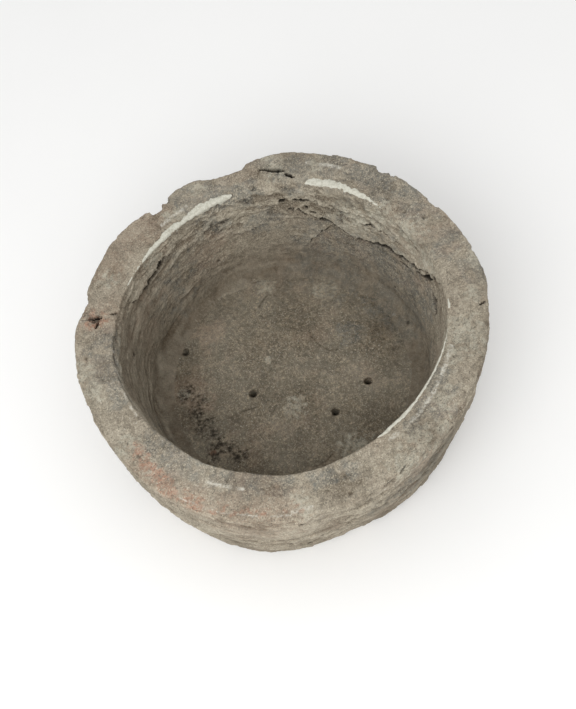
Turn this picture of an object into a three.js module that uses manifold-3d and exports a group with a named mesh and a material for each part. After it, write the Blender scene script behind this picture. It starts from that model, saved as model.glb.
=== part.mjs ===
// A large hand-built mortar bowl of coarse fired clay, flat inside and out, with a thick flat-topped rim.
// It is modelled as the pieces that it was built from: a floor slab, three wall courses wrapped round it one
// on another, a rim coil laid in three lengths, and the lime fills run along the rim's broken inner edge.
// Millimetres and degrees, +Z up, origin at the middle of the flat underside. Angles run from +X to +Y.
import * as THREE from "three";
import { mergeVertices } from "three/addons/utils/BufferGeometryUtils.js";
import Module from "manifold-3d";

// ---- driving dimensions ----
const HEIGHT = 188; // from the ground to the rim's top
const RIM_OUTER_RADIUS = 250;
const RIM_THICKNESS = 52; // the wall's thickness across the flat top
const BASE_OUTER_RADIUS = 222;
const BASE_EDGE_ROUND = 9;
const RIM_EDGE_ROUND = 4;
const BELLY = 3; // how far the outer wall swells past a straight taper
const FLOOR_RADIUS = 176; // where the inner wall meets the floor
const FLOOR_THICKNESS = 34;
const CORNER_ROUND = 12; // between the floor and the inner wall
const GAP = 0.4; // left between neighbouring pieces
const LOBES = [
  { count: 2, size: 4.2, at: 80 },
  { count: 4, size: 2.4, at: -30 },
]; // how far the hand-made ring is from round

// The courses' seams: heights at the wall's inner face, and how much lower each is at its outer face.
const LOWER_COURSE_TOP = 62;
const MIDDLE_COURSE_TOP = 98;
const UPPER_COURSE_TOP = 150;
const SEAM_DIP = { depth: 32, at: 46, width: 24 }; // where the rim coil laps furthest down the inner wall
const SEAM_FALL = 10;
const SLAB_EDGE_FLARE = 9; // the floor slab is this much wider underneath

// The rim coil's three lengths meet in slanted laps at these angles.
const RIM_LAPS = { back: 90, left: 160, right: 355 };
const LAP_SLANT = 22; // how far a lap's top leads its foot along the rim
const LAP_REACH = 14; // degrees over which the slant dies away

const DRAIN_HOLE_DIAMETER = 9.5;
const DRAIN_HOLES = [
  { at: 343, radius: 101 },
  { at: 306.5, radius: 77 },
  { at: 190, radius: 54 },
  { at: 150.5, radius: 151 },
];

// Chips knocked off the rim's outer edge: length along the rim, depth into it and drop down the wall.
const RIM_CHIPS = [
  { at: 121, length: 26, depth: 13, drop: 20 },
  { at: 100.5, length: 12, depth: 8, drop: 14 },
  { at: 96, length: 34, depth: 9, drop: 16 },
  { at: 46.5, length: 14, depth: 7, drop: 18 },
  { at: 27, length: 20, depth: 4, drop: 12 },
  { at: 353, length: 22, depth: 5, drop: 16 },
  { at: 160.5, length: 22, depth: 6, drop: 22 },
];
const BURNT_PIT = { at: 165.5, radius: 225, across: 20, depth: 9 };

// Lime fills along the inner edge: from one angle to the other, width across the top, depth down the wall.
const LIME_FILLS = [
  { name: "lime_fill_left", from: 96, to: 153, width: 7, depth: 13 },
  { name: "lime_fill_back", from: 42, to: 69, width: 11, depth: 9 },
  { name: "lime_fill_right_upper", from: 349.5, to: 354.5, width: 5, depth: 6 },
  { name: "lime_fill_right", from: 294, to: 343, width: 4, depth: 6 },
];
const LIME_TAPER = 5; // degrees over which a fill thins to its ends

const RING_STEPS = 72;
const STEP = 360 / RING_STEPS;
const WALL_STEPS = 3; // sections up one face of a course
const LIFT = 0.02; // how far a cutter overshoots a face that it ends on

// ---- shape of the vessel ----
const radians = THREE.MathUtils.degToRad;
const wrap = (angle) => ((((angle + 180) % 360) + 360) % 360) - 180;
const bell = (angle, at, width) => Math.exp(-((wrap(angle - at) / width) ** 2));

function lobes(angle) {
  const waves = LOBES.map((l) => l.size * Math.cos(radians(l.count * angle - l.at)));
  return waves.reduce((sum, wave) => sum + wave, 0);
}

// How far in a rounded edge of this radius has drawn the surface, at this distance from the edge's end.
function rounding(distance, radius) {
  if (distance >= radius) return 0;
  return radius - Math.sqrt(radius ** 2 - (radius - Math.max(distance, 0)) ** 2);
}

function outerRadius(angle, z) {
  const share = z / HEIGHT;
  const taper = THREE.MathUtils.lerp(BASE_OUTER_RADIUS, RIM_OUTER_RADIUS, share);
  const swell = BELLY * Math.sin(Math.PI * share);
  const edges = rounding(z, BASE_EDGE_ROUND) + rounding(HEIGHT - z, RIM_EDGE_ROUND);
  return taper + swell + lobes(angle) - edges;
}

function innerRadius(angle, z) {
  const share = (z - FLOOR_THICKNESS) / (HEIGHT - FLOOR_THICKNESS);
  const rimInner = RIM_OUTER_RADIUS - RIM_THICKNESS;
  const taper = THREE.MathUtils.lerp(FLOOR_RADIUS, rimInner, Math.max(share, 0));
  return taper + 0.7 * lobes(angle) - rounding(z - FLOOR_THICKNESS, CORNER_ROUND);
}

const upperSeam = (angle) => UPPER_COURSE_TOP - SEAM_DIP.depth * bell(angle, SEAM_DIP.at, SEAM_DIP.width);
const seams = [() => LOWER_COURSE_TOP, () => MIDDLE_COURSE_TOP, upperSeam];

// A lap leans the coil's cross-sections over, most at the lap and hardly at all LAP_REACH away. The coil's
// underside is not moved.
function leanAt(angle, z, underside) {
  const share = Object.values(RIM_LAPS).reduce((sum, at) => sum + bell(angle, at, LAP_REACH), 0);
  const up = (z - underside) / (HEIGHT - underside);
  return (share * up * LAP_SLANT * 180) / (Math.PI * RIM_OUTER_RADIUS);
}

// ---- closed solids from cross-sections ----
// section(angle) is a closed loop of [radius, height, lean in degrees], anticlockwise seen with +Z up and
// the axis to the left. The loops are joined round the ring, or capped at both ends. Each four-sided face is
// split from its wider edge, so two faces that lie against each other are split alike.
function sweep(angles, section, isRing) {
  const loops = angles.map((angle) => section(angle));
  const count = loops[0].length;
  const points = loops.flatMap((loop, i) =>
    loop.map(([radius, z, lean = 0]) => {
      const turn = radians(angles[i] + lean);
      return [radius * Math.cos(turn), radius * Math.sin(turn), z];
    }),
  );
  const triangles = [];
  const spans = isRing ? loops.length : loops.length - 1;
  for (let i = 0; i < spans; i++) {
    const here = i * count;
    const next = ((i + 1) % loops.length) * count;
    for (let j = 0; j < count; j++) {
      const k = (j + 1) % count;
      if (loops[i][j][0] >= loops[i][k][0]) {
        triangles.push(here + j, next + j, next + k, here + j, next + k, here + k);
      } else {
        triangles.push(here + j, next + j, here + k, next + j, next + k, here + k);
      }
    }
  }
  if (!isRing) {
    const flat = loops.map((loop) => loop.map(([radius, z]) => new THREE.Vector2(radius, z)));
    const last = (loops.length - 1) * count;
    for (const [a, b, c] of THREE.ShapeUtils.triangulateShape(flat[0], [])) triangles.push(a, b, c);
    for (const [a, b, c] of THREE.ShapeUtils.triangulateShape(flat.at(-1), [])) {
      triangles.push(last + a, last + c, last + b);
    }
  }
  const geometry = new THREE.BufferGeometry();
  geometry.setAttribute("position", new THREE.Float32BufferAttribute(points.flat(), 3));
  geometry.setIndex(triangles);
  return geometry;
}

const steps = (from, to, count) =>
  Array.from({ length: count + 1 }, (_, i) => THREE.MathUtils.lerp(from, to, i / count));

const ringAngles = steps(0, 360 - STEP, RING_STEPS - 1);

// The section of a course between two seams. The seam faces run straight from the inner to the outer wall.
function courseSection(bottom, top) {
  return (angle) => {
    const outer = steps(above(bottom, SEAM_FALL)(angle), below(top, SEAM_FALL)(angle), WALL_STEPS);
    const inner = steps(below(top)(angle), above(bottom)(angle), WALL_STEPS);
    return [
      ...outer.map((z) => [outerRadius(angle, z), z]),
      ...inner.map((z) => [innerRadius(angle, z), z]),
    ];
  };
}

const above = (seam, fall = 0) => (angle) => seam(angle) - fall + GAP / 2;
const below = (seam, fall = 0) => (angle) => seam(angle) - fall - GAP / 2;

// ---- cutting with manifold-3d ----
const wasm = await Module();
wasm.setup();

function toSolid(geometry) {
  const bare = geometry.clone();
  bare.deleteAttribute("normal");
  bare.deleteAttribute("uv");
  const merged = mergeVertices(bare, 1e-3);
  return new wasm.Manifold(
    new wasm.Mesh({
      numProp: 3,
      vertProperties: merged.attributes.position.array,
      triVerts: new Uint32Array(merged.index.array),
    }),
  );
}

function toGeometry(solid) {
  const mesh = solid.getMesh();
  const geometry = new THREE.BufferGeometry();
  geometry.setAttribute("position", new THREE.BufferAttribute(mesh.vertProperties, 3));
  geometry.setIndex(new THREE.BufferAttribute(mesh.triVerts, 1));
  return geometry;
}

const cutAll = (geometry, cutters) =>
  toGeometry(cutters.reduce((solid, cutter) => solid.subtract(toSolid(cutter)), toSolid(geometry)));

function place(geometry, angle, radius, z) {
  return geometry
    .rotateZ(radians(angle))
    .translate(radius * Math.cos(radians(angle)), radius * Math.sin(radians(angle)), z);
}

// ---- the pieces ----
// The slab's edge spreads towards the ground, and the lowest course is pressed round it.
function slabEdge(angle, z, clearance) {
  const share = 1 - z / FLOOR_THICKNESS;
  return innerRadius(angle, FLOOR_THICKNESS) + CORNER_ROUND + share * SLAB_EDGE_FLARE + clearance;
}

function floorSlab() {
  const points = ringAngles.flatMap((angle) =>
    [0, FLOOR_THICKNESS].map((z) => {
      const radius = slabEdge(angle, z, -GAP / 2);
      return [radius * Math.cos(radians(angle)), radius * Math.sin(radians(angle)), z];
    }),
  );
  const under = points.push([0, 0, 0]) - 1;
  const over = points.push([0, 0, FLOOR_THICKNESS]) - 1;
  const triangles = [];
  for (let i = 0; i < RING_STEPS; i++) {
    const a = 2 * i;
    const b = (2 * (i + 1)) % (2 * RING_STEPS);
    triangles.push(a, b, b + 1, a, b + 1, a + 1, under, b, a, over, a + 1, b + 1);
  }
  const slab = new THREE.BufferGeometry();
  slab.setAttribute("position", new THREE.Float32BufferAttribute(points.flat(), 3));
  slab.setIndex(triangles);
  const holes = DRAIN_HOLES.map(({ at, radius }) => {
    const drill = new THREE.CylinderGeometry(
      DRAIN_HOLE_DIAMETER / 2,
      DRAIN_HOLE_DIAMETER / 2,
      FLOOR_THICKNESS + 2 * LIFT,
      16,
    ).rotateX(Math.PI / 2);
    return place(drill, at, radius, FLOOR_THICKNESS / 2);
  });
  return cutAll(slab, holes);
}

// The lowest course stands on the ground round the slab, and curls in over its edge to meet the floor.
function lowerCourse() {
  const top = below(seams[0]);
  const topOuter = below(seams[0], SEAM_FALL);
  const corner = [0, 0.12, 0.35, 1];
  return sweep(
    ringAngles,
    (angle) => {
      const outerHeights = [...steps(0, BASE_EDGE_ROUND, 3), topOuter(angle)];
      const innerHeights = steps(top(angle), FLOOR_THICKNESS + CORNER_ROUND, 2);
      const overSlab = FLOOR_THICKNESS + GAP / 2;
      return [
        [slabEdge(angle, 0, GAP / 2), 0],
        ...outerHeights.map((z) => [outerRadius(angle, z), z]),
        ...innerHeights.map((z) => [innerRadius(angle, z), z]),
        ...corner.slice(1, -1).reverse().map((share) => {
          const z = overSlab + share * CORNER_ROUND;
          return [innerRadius(angle, z), z];
        }),
        [innerRadius(angle, overSlab), overSlab],
        [slabEdge(angle, FLOOR_THICKNESS, GAP / 2), overSlab],
      ];
    },
    true,
  );
}

const middleCourse = () => sweep(ringAngles, courseSection(seams[0], seams[1]), true);

const upperCourse = () => sweep(ringAngles, courseSection(seams[1], seams[2]), true);

// A chip is a flattened ball bitten out of the outer edge.
const chipCutters = () =>
  RIM_CHIPS.map(({ at, length, depth, drop }) => {
    const bite = new THREE.IcosahedronGeometry(1, 1).scale(depth, length / 2, drop);
    return place(bite, at, outerRadius(at, HEIGHT - RIM_EDGE_ROUND), HEIGHT);
  });

function pitCutter() {
  const bite = new THREE.IcosahedronGeometry(1, 1);
  bite.scale(BURNT_PIT.across / 2, BURNT_PIT.across / 3, BURNT_PIT.depth);
  return place(bite, BURNT_PIT.at, BURNT_PIT.radius, HEIGHT);
}

// A fill's wedge: the missing corner between the rim's top and its inner wall. grow widens it into its seat,
// which runs on past both faces.
function limeWedge({ from, to, width, depth }, grow) {
  const span = wrap(to - from) < 0 ? wrap(to - from) + 360 : wrap(to - from);
  const count = Math.max(2, Math.ceil(span / STEP));
  const angles = steps(from - grow / 4, from + span + grow / 4, count);
  return sweep(
    angles,
    (angle) => {
      const toEnd = Math.min(angle - angles[0], angles.at(-1) - angle);
      const size = Math.min(1, 0.45 + (0.55 * toEnd) / LIME_TAPER);
      const inner = innerRadius(angle, HEIGHT);
      const wide = width * size + grow;
      const deep = depth * size + grow;
      const bend = { radius: inner + wide * 0.45, z: HEIGHT - deep * 0.62 };
      const foot = { radius: innerRadius(angle, HEIGHT - deep), z: HEIGHT - deep };
      const proud = grow > 0 ? 2 : 0;
      const footSlope = (bend.z - foot.z) / (bend.radius - foot.radius);
      const topSlope = (inner + wide - bend.radius) / (HEIGHT - bend.z);
      return [
        [foot.radius - proud, foot.z - proud * footSlope],
        [bend.radius, bend.z],
        [inner + wide + proud * topSlope, HEIGHT + proud],
        [inner - proud, HEIGHT + proud],
      ];
    },
    false,
  );
}

function rimLength(from, to) {
  const end = to > from ? to : to + 360;
  const trim = (GAP * 90) / (Math.PI * RIM_OUTER_RADIUS);
  const between = [...ringAngles, ...ringAngles.map((angle) => angle + 360)];
  const angles = [from + trim, ...between.filter((angle) => angle > from && angle < end), end - trim];
  const coil = sweep(
    angles,
    (angle) => {
      const underOuter = above(seams[2], SEAM_FALL)(angle);
      const underInner = above(seams[2])(angle);
      const outer = [...steps(underOuter, HEIGHT - RIM_EDGE_ROUND, WALL_STEPS), HEIGHT - 1, HEIGHT];
      const inner = steps(HEIGHT, underInner, WALL_STEPS);
      return [
        ...outer.map((z) => [outerRadius(angle, z), z, leanAt(angle, z, underOuter)]),
        ...inner.map((z) => [innerRadius(angle, z), z, leanAt(angle, z, underInner)]),
      ];
    },
    false,
  );
  const seats = LIME_FILLS.map((fill) => limeWedge(fill, GAP));
  return cutAll(coil, [...chipCutters(), pitCutter(), ...seats]);
}

// ---- the assembly ----
const clay = new THREE.MeshStandardMaterial({ color: 0x7f776a, roughness: 0.95, metalness: 0 });
const slabClay = new THREE.MeshStandardMaterial({ color: 0x6b6457, roughness: 0.95, metalness: 0 });
const lime = new THREE.MeshStandardMaterial({ color: 0xc9c8bb, roughness: 0.9, metalness: 0 });

const vessel = new THREE.Group();
function add(name, geometry, material) {
  const mesh = new THREE.Mesh(geometry, material);
  mesh.name = name;
  vessel.add(mesh);
}

add("floor_slab", floorSlab(), slabClay);
add("lower_wall_course", lowerCourse(), clay);
add("middle_wall_course", middleCourse(), clay);
add("upper_wall_course", upperCourse(), clay);
add("rim_coil_back_right", rimLength(RIM_LAPS.right, RIM_LAPS.back), clay);
add("rim_coil_back_left", rimLength(RIM_LAPS.back, RIM_LAPS.left), clay);
add("rim_coil_front", rimLength(RIM_LAPS.left, RIM_LAPS.right), clay);
for (const fill of LIME_FILLS) add(fill.name, limeWedge(fill, 0), lime);

export default vessel;
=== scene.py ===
# The looks of a large hand-built clay mortar bowl: courses of coarse grey-brown clay wiped smooth inside,
# a thick flat rim with knocked edges, folded cracks, drilled drain holes and lime repairs.
# Lengths are in millimetres and angles in degrees from +X towards +Y unless a name says otherwise.
import math

import bpy
import numpy as np
from mathutils import Matrix, Vector


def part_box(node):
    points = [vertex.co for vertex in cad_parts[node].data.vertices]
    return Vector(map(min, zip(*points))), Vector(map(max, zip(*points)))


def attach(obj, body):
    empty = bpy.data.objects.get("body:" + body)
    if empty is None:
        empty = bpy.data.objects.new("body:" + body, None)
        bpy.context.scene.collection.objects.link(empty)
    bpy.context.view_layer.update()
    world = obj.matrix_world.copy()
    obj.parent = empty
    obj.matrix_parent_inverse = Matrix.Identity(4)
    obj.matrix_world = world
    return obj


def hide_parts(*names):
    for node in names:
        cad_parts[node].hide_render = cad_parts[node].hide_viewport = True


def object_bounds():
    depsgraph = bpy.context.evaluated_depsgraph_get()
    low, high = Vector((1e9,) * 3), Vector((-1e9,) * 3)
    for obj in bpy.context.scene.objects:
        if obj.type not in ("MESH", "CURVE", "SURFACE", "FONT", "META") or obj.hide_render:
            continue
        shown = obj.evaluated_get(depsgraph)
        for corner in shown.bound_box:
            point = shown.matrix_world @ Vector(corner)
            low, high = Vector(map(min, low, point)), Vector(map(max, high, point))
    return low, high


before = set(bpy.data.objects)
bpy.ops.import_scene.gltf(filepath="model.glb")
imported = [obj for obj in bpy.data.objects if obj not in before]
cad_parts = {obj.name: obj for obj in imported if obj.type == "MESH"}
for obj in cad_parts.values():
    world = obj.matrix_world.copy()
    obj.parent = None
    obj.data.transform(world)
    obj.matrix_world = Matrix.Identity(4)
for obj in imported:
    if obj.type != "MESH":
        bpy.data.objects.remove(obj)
cad_low, cad_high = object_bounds()


# ---- sizes, from the frame
def box_mm(node):
    low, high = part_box(node)
    return np.array(low) * 1000.0, np.array(high) * 1000.0


def top_of(node):
    return box_mm(node)[1][2]


def mean_radius(node):
    low, high = box_mm(node)
    return float((high[:2] - low[:2]).mean() / 2.0)


HEIGHT = top_of("rim_coil_front")
FLOOR_TOP = top_of("floor_slab")
SLAB_FOOT_RADIUS = mean_radius("floor_slab")
LOWER_SEAM = top_of("lower_wall_course")
MIDDLE_SEAM = top_of("middle_wall_course")
UPPER_SEAM = top_of("upper_wall_course")
RIM_RADIUS = float(np.array(cad_high - cad_low)[:2].mean() * 500.0) - 2.0
FOOT_RADIUS = mean_radius("lower_wall_course") - 10.0
WALL = 52.0
RIM_INNER_RADIUS = RIM_RADIUS - WALL
INNER_WALL_RADIUS = 190.0  # halfway up the inner wall, for lengths round it
FLOOR_RADIUS = SLAB_FOOT_RADIUS - 10.5
SLAB_TOP_RADIUS = SLAB_FOOT_RADIUS - 9.0
SEAM_FALL = 10.0
SEAM_GAP = 0.06
HALF_GAP = SEAM_GAP / 2.0
TOE_SINK = 0.9  # how far the wall's toe starts below the floor's face
FLOOR_SINK = 0.4
SLAB_LOBES = 0.7  # the share of the outer wall's lobes that the slab's edge follows
FOOT_ROUND = 9.0
CORNER_ROUND = 21.0
SEAM_DIP = (32.0, 46.0, 24.0)  # depth, angle, width of the rim coil's lap down the inner wall
RIM_LAPS = {"back": 90.0, "left": 160.0, "right": 355.0}
LAP_SLANT = 22.0
LAP_REACH = 14.0
SHARP_ANGLE = 62.0

COLUMNS = 1200
ROW_STEP = 1.15
OUTER_ROW_STEP = 1.75
FLOOR_ROWS = 120
UNDERSIDE_ROWS = 31


# ---- noise
def clamp(value):
    return np.clip(value, 0.0, 1.0)


def smooth(low, high, value):
    t = clamp((value - low) / (high - low))
    return t * t * (3.0 - 2.0 * t)


def hashed(cell, seed):
    mixed = cell[..., 0] * 73856093 ^ cell[..., 1] * 19349663 ^ cell[..., 2] * 83492791
    mixed = (mixed ^ seed * 668265263) & 0xFFFFFFFF
    mixed = (mixed ^ mixed >> 15) * 0x2C1B3C6D & 0xFFFFFFFF
    mixed = (mixed ^ mixed >> 12) * 0x297A2D39 & 0xFFFFFFFF
    return mixed ^ mixed >> 15


def random01(cell, seed):
    return hashed(cell, seed) / 4294967296.0


def gradient_noise(points, seed):
    base = np.floor(points).astype(np.int64)
    local = points - base
    fade = local * local * local * (local * (local * 6.0 - 15.0) + 10.0)
    total = np.zeros(points.shape[:-1])
    for corner in np.ndindex(2, 2, 2):
        h = hashed(base + np.array(corner), seed)
        slope = np.stack([(h & 1023), (h >> 10 & 1023), (h >> 20 & 1023)], axis=-1) / 511.5 - 1.0
        offset = local - np.array(corner)
        weight = np.prod(np.where(np.array(corner) == 1, fade, 1.0 - fade), axis=-1)
        total += weight * (slope * offset).sum(axis=-1)
    return total * 1.6


def ripple(points, wavelength, seed):
    """Noise from about -1 to 1 whose waves have this length in millimetres."""
    return gradient_noise(points / wavelength, seed)


def fbm(points, wavelength, octaves, seed):
    total = 0.0
    strength = 1.0
    for octave in range(octaves):
        total = total + strength * gradient_noise(points * (2.03 ** octave) / wavelength, seed + octave)
        strength *= 0.5
    return total


def drawn_out(angle, radius, z, along, across, seed):
    """Noise drawn out round the ring, as fingers leave when they wipe wet clay."""
    turn = np.radians(angle)
    points = np.stack([radius * np.cos(turn) / along, radius * np.sin(turn) / along, z / across], axis=-1)
    return gradient_noise(points, seed)


def pits(points, cell_size, share, depth, seed):
    """Round pits, at most one to a cell, in this share of the cells."""
    scaled = points / cell_size
    cell = np.floor(scaled).astype(np.int64)
    middle = np.stack([0.3 + 0.4 * random01(cell, seed + k) for k in range(3)], axis=-1)
    size = 0.1 + 0.2 * random01(cell, seed + 3) ** 2
    away = np.linalg.norm(scaled - cell - middle, axis=-1) / size
    present = random01(cell, seed + 4) < share
    return np.where(present, depth * size / 0.3 * clamp(1.0 - away ** 2), 0.0)


# ---- the vessel's shape
def wrap(angle):
    return (angle + 180.0) % 360.0 - 180.0


def bell(angle, at, width):
    return np.exp(-((wrap(angle - at) / width) ** 2))


def bells(angle, table):
    """The sum of bells in a table of (angle, half width in degrees, size)."""
    return sum(size * bell(angle, at, width) for at, width, size in table)


def along_ring(angle, at, radius):
    """Millimetres round the ring from one angle."""
    return wrap(angle - at) * math.pi / 180.0 * radius


def cartesian(angle, radius, z):
    turn = np.radians(angle)
    return np.stack([radius * np.cos(turn), radius * np.sin(turn), z + 0.0 * radius], axis=-1)


def outer_lobes(angle):
    turn = np.radians(angle)
    return 4.2 * np.cos(2 * turn - 1.4) + 2.4 * np.cos(4 * turn + 0.52)


def inner_lobes(angle):
    turn = np.radians(angle)
    return 2.9 * np.cos(2 * turn - 0.73) + 2.2 * np.cos(4 * turn + 0.35) + 1.9 * np.cos(turn - 1.17)


# The rim's outline between its big chips: (angle, half width in degrees, how far out).
OUTLINE_SWELLS = [
    (110.5, 3.5, 2), (117, 2.6, -4), (136, 9, 5.5), (156, 5, -4.5),
    (195, 28, -6.5), (272, 4, -3.5), (49, 4, 2), (355, 9, 2),
]
# The same for the foot, which is drawn in at the front.
FOOT_SWELLS = [(275, 18, -8), (285, 45, -3)]
# Where the rim coil's lapped end stands back from its neighbour: (angle, how far out).
LAPPED_END = [(81.5, 0), (85, -4), (88.8, -8.5), (91, -15), (99, -14.5), (101.5, -11), (106, 0)]
# Chips knocked off the outer edge: (angle, half length, depth into the rim, drop down the wall).
RIM_CHIPS = [
    (120.9, 12, 13, 26), (116.6, 6, 5, 14), (103.8, 4.5, 4, 9),
    (46.5, 8, 7, 18), (43, 5, 4, 9), (27.5, 10, 4.5, 16), (353.5, 12, 4, 20),
    (159.5, 9, 6, 24), (136, 5, 3, 8), (63, 4, 3, 8), (8, 5, 3, 9),
    (196, 6, 3, 10), (231, 7, 3.5, 9), (252, 4, 3, 7), (338, 6, 4, 14),
    (322, 8, 5, 16), (305, 6, 4, 14), (181, 4, 2.5, 7),
]


def outer_edge_round(angle):
    return 3.5 + 12.0 * bell(angle, 312.0, 34.0) + 2.0 * bell(angle, 100.0, 20.0)


def inner_edge_round(angle):
    return 2.5 + 6.0 * bell(angle, 30.0, 38.0) + 17.0 * bell(angle, 83.0, 12.0)


def rounding(distance, radius):
    inside = np.clip(distance, 0.0, radius)
    return radius - np.sqrt(np.maximum(radius ** 2 - (radius - inside) ** 2, 0.0))


def outer_radius(angle, z):
    share = z / HEIGHT
    turned = (angle + lap_lean(angle, smooth(0.75, 1.0, share)) + 0.5 * np.sin(z / 9.0)) % 360.0
    swells = bells(angle, OUTLINE_SWELLS) + np.interp(turned, *zip(*LAPPED_END))
    swells = swells * smooth(0.35, 1.0, share) + (1.0 - share) * bells(angle, FOOT_SWELLS)
    return (
        FOOT_RADIUS + (RIM_RADIUS - FOOT_RADIUS) * share + 3.0 * np.sin(math.pi * share)
        + outer_lobes(angle) + swells - rounding(z, FOOT_ROUND)
    )


def inner_radius(angle, z):
    share = clamp((z - FLOOR_TOP) / (HEIGHT - FLOOR_TOP))
    taper = FLOOR_RADIUS + (RIM_INNER_RADIUS - FLOOR_RADIUS) * share
    return taper + (0.4 + 0.6 * share) * inner_lobes(angle) - rounding(z - FLOOR_TOP, CORNER_ROUND)


def upper_seam(angle):
    depth, at, width = SEAM_DIP
    return UPPER_SEAM - depth * bell(angle, at, width)


def lap_lean(angle, height_share):
    share = sum(bell(angle, at, LAP_REACH) for at in RIM_LAPS.values())
    return share * height_share * math.degrees(LAP_SLANT / RIM_RADIUS)


def sway(angle, z):
    """The heights, with the rim's top rising and falling round the ring."""
    turn = np.radians(angle)
    rise = 1.3 * np.sin(2.0 * turn + 0.6) + 0.9 * np.sin(5.0 * turn + 1.9) + 0.5 * np.sin(9.0 * turn)
    return z + rise * smooth(HEIGHT - 45.0, HEIGHT - 8.0, z)


def knock_off_chips(angle, radius, z):
    """Bevels the outer edge where a chip is: a point in the missing corner moves onto the break."""
    for at, half_length, depth, drop in RIM_CHIPS:
        along = along_ring(angle, at, RIM_RADIUS) / half_length
        along = along + 0.35 * gradient_noise(np.stack([angle * 1.1, z / 7.0, radius / 7.0], axis=-1), 71)
        size = np.sqrt(np.clip(1.0 - along ** 2, 1e-9, 1.0))
        near = np.abs(along) < 1.0
        u = (outer_radius(angle, z) - radius) / (depth * size)
        v = (HEIGHT - z) / (drop * size)
        missing = np.where(near, clamp(1.0 - u - v), 0.0)
        bite = 0.5 * missing + 0.44 * missing * (1.0 - missing)
        radius = radius - bite * depth * size
        z = z - bite * drop * size
    return radius, z


# ---- cracks, folds and gaps
# Each is a run of (angle, height) along the inner wall. The clay above a fold laps over the clay below it.
FOLD_RIGHT = [
    (77, 152), (74, 143), (71.5, 137), (67, 134), (64, 130), (61, 129), (56, 123), (53, 119), (48, 112),
    (44, 116), (39, 119), (34, 128), (28, 130), (22.5, 133), (19, 138), (16, 142), (12, 156), (9, 164),
    (5, 171), (0, 181),
]
FOLD_RIGHT_LOWER = [(27, 118), (23, 122), (18, 127), (14, 137), (10, 149), (6, 162), (2, 176)]
FOLD_LEFT = [(129, 157), (131, 157), (135, 154), (139, 154), (143, 149), (146, 153), (148.5, 154), (154, 161)]
WALL_CRACK = [(72, 68), (71, 72), (68.5, 81), (67.5, 89), (64, 99), (63, 108), (60, 117), (58.5, 124)]
BACK_CRACK = [(84, 118), (87, 121), (91, 117), (96, 113), (100, 115)]
FOLD_UPPER = [
    (79, 168), (72, 160), (66, 161), (58, 152), (50, 147), (43, 149), (36, 152), (30, 150), (24, 155),
]
# Each fold or crack: (run, half width, depth, how far the clay above laps over).
FOLDS = [
    (FOLD_RIGHT, 3.3, 6.5, 2.6), (FOLD_RIGHT_LOWER, 2.3, 5.0, 1.4), (FOLD_LEFT, 3.2, 7.0, 2.0),
    (WALL_CRACK, 0.9, 2.2, 1.2), (BACK_CRACK, 0.9, 2.2, 1.6), (FOLD_UPPER, 1.3, 3.5, 1.2),
]
# Pits in the inner wall: (angle, height, half width, half height, depth).
WALL_PITS = [
    (1, 138, 7, 9, 13), (3.5, 142, 9, 3.5, 9), (-1, 131, 5, 7, 10), (27, 63, 1.6, 1.6, 3),
    (30, 79, 1.5, 1.5, 3), (72, 142, 4, 2.4, 7), (69, 147, 2.4, 3.6, 7), (66.5, 140, 5, 2, 6),
    (75, 140, 5, 1.8, 5), (78, 159, 5.5, 2.6, 6), (9.5, 158, 4.5, 3, 6), (20, 134, 3.5, 1.6, 5),
    (47.5, 112, 6, 2.2, 6), (133.5, 157, 6, 5.5, 9), (139, 153, 15, 3.8, 9), (62, 128, 5, 1.6, 4),
    (52, 117, 3, 1.4, 4),
]
# Slits in the rim's top: (angle, radius, half length, half width, depth, turn away from the ring's line).
RIM_SLITS = [
    (83.5, 227, 7, 1.8, 7, 8), (79.4, 224, 11, 3.2, 10, 10), (74.8, 215, 8, 2.2, 6, 25),
    (289, 244, 10, 1.2, 4, -6), (284.5, 247, 8, 1.1, 3.5, 8), (294, 240, 7, 1.1, 3.5, -16),
    (164.5, 226, 10, 2.6, 6, 78), (166.8, 222, 5, 1.8, 5, 20),
    (162.5, 203, 6, 1.3, 5, 70), (350.5, 243, 6, 1.2, 3, 60),
]
# Slits in the outer wall: (angle, height, half length, half height, depth).
OUTER_SLITS = [
    (250, 168, 10, 1.3, 4), (312, 166, 9, 1.2, 4), (120, 120, 12, 1.2, 4), (60, 95, 15, 1.3, 4),
    (20, 140, 7, 1, 3), (200, 110, 11, 1.2, 4), (335, 96, 16, 1.2, 4), (232, 78, 9, 1.1, 3),
    (275, 62, 13, 1.1, 3), (303, 140, 22, 1.7, 6), (327, 156, 13, 1.5, 5), (292, 121, 10, 2.2, 5),
]


def run_distance(angle, z, run, radius):
    """Distance to a run, and the height above it, in millimetres."""
    best = np.full(angle.shape, np.inf)
    above = np.zeros(angle.shape)
    scale = radius * math.pi / 180.0
    for (a0, z0), (a1, z1) in zip(run[:-1], run[1:]):
        dx, dz = (a1 - a0) * scale, z1 - z0
        px, pz = wrap(angle - a0) * scale, z - z0
        t = clamp((px * dx + pz * dz) / (dx * dx + dz * dz))
        away = np.hypot(px - t * dx, pz - t * dz)
        nearer = away < best
        best = np.where(nearer, away, best)
        above = np.where(nearer, pz - t * dz, above)
    return best, above


def end_fade(angle, run, reach=4.0):
    """1 along a run and 0 past its two ends."""
    angles = [wrap(a - run[0][0]) for a, _ in run]
    low, high = min(angles), max(angles)
    local = wrap(angle - run[0][0])
    return smooth(low - 0.5, low + reach, local) * (1.0 - smooth(high - reach, high + 0.5, local))


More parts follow.
